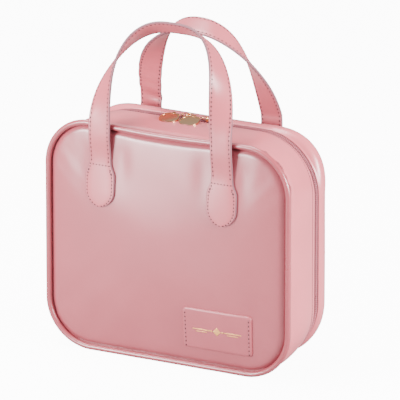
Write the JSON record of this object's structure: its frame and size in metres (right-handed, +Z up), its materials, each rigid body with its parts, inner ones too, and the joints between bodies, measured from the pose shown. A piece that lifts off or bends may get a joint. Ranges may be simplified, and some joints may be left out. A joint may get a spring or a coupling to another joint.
{
  "type": "makeup train case",
  "caption": "Soft rectangular makeup case with rounded corners, a zip round three sides, a hinged shallow lid and two strap handles.",
  "frame": {"origin": "centre of the case's footprint, on the surface that it stands on", "axes": "+X to the right seen from the front, +Y to the back, +Z up"},
  "size_m": [0.24, 0.0975, 0.3037],
  "materials": {
    "panel_leather": "smooth semi-gloss dusty pink synthetic leather",
    "gusset_leather": "smooth semi-gloss dusty pink synthetic leather",
    "piping_leather": "smooth semi-gloss synthetic leather over a cord",
    "strap_leather": "smooth synthetic leather with painted edges",
    "patch_leather": "smooth synthetic leather with a foil ornament",
    "lining_fabric": "plain woven polyester lining",
    "divider_fabric": "padded fabric-covered divider",
    "padding_foam": "polyethylene foam sheet",
    "stiffener_board": "bag stiffener board",
    "zip_tape": "woven zip tape dyed to match",
    "zip_coil": "nylon coil dyed to match",
    "gold_metal": "polished light rose-gold plating on zinc alloy"
  },
  "bodies": {
    "base": {"front_panel": "panel_leather", "front_board": "stiffener_board", "front_piping": "piping_leather", "front_gusset": "gusset_leather", "gusset_foam": "padding_foam", "base_lining": "lining_fabric", "side_lining": "lining_fabric", "front_tape": "zip_tape", "front_coil": "zip_coil", "hinge_strip": "gusset_leather", "front_handle_tabs": "strap_leather", "label_patch": "patch_leather", "zip_end_tabs": "gusset_leather", "long_divider": "divider_fabric", "left_divider": "divider_fabric", "right_divider": "divider_fabric"},
    "lid": {"rear_shell": "gusset_leather", "lid_foam": "padding_foam", "lid_lining": "lining_fabric", "rear_tape": "zip_tape", "rear_coil": "zip_coil", "lid_hinge_strip": "gusset_leather", "rear_handle_tabs": "strap_leather", "lid_pocket": "lining_fabric"},
    "left_slider": {"left_slider": "gold_metal"},
    "right_slider": {"right_slider": "gold_metal"},
    "left_pull": {"left_chain": "gold_metal", "left_disc": "gold_metal"},
    "right_pull": {"right_chain": "gold_metal", "right_disc": "gold_metal"},
    "front_handle": {"front_handle": "strap_leather"},
    "rear_handle": {"rear_handle": "strap_leather"}
  },
  "joints": [
    {"name": "lid_hinge", "type": "hinge", "parent": "base", "child": "lid", "pos_m": [0, 0.016, 0], "axis": [-1, 0, 0], "range_deg": [0, 180]},
    {"name": "front_handle_swing", "type": "hinge", "parent": "base", "child": "front_handle", "pos_m": [-0.004, -0.044, 0.173], "axis": [1, 0, 0], "range_deg": [0, 160]},
    {"name": "rear_handle_swing", "type": "hinge", "parent": "lid", "child": "rear_handle", "pos_m": [-0.004, 0.044, 0.173], "axis": [-1, 0, 0], "range_deg": [0, 160]},
    {"name": "left_slider_slide", "type": "slide", "parent": "base", "child": "left_slider", "axis": [-1, 0, 0], "range_m": [0, 0.05]},
    {"name": "right_slider_slide", "type": "slide", "parent": "base", "child": "right_slider", "axis": [1, 0, 0], "range_m": [0, 0.046]},
    {"name": "left_pull_flip", "type": "hinge", "parent": "left_slider", "child": "left_pull", "pos_m": [-0.008, 0.016, 0.2086], "axis": [0, 1, 0], "range_deg": [0, 110]},
    {"name": "right_pull_flip", "type": "hinge", "parent": "right_slider", "child": "right_pull", "pos_m": [0.012, 0.016, 0.2086], "axis": [0, 1, 0], "range_deg": [0, 165]}
  ]
}
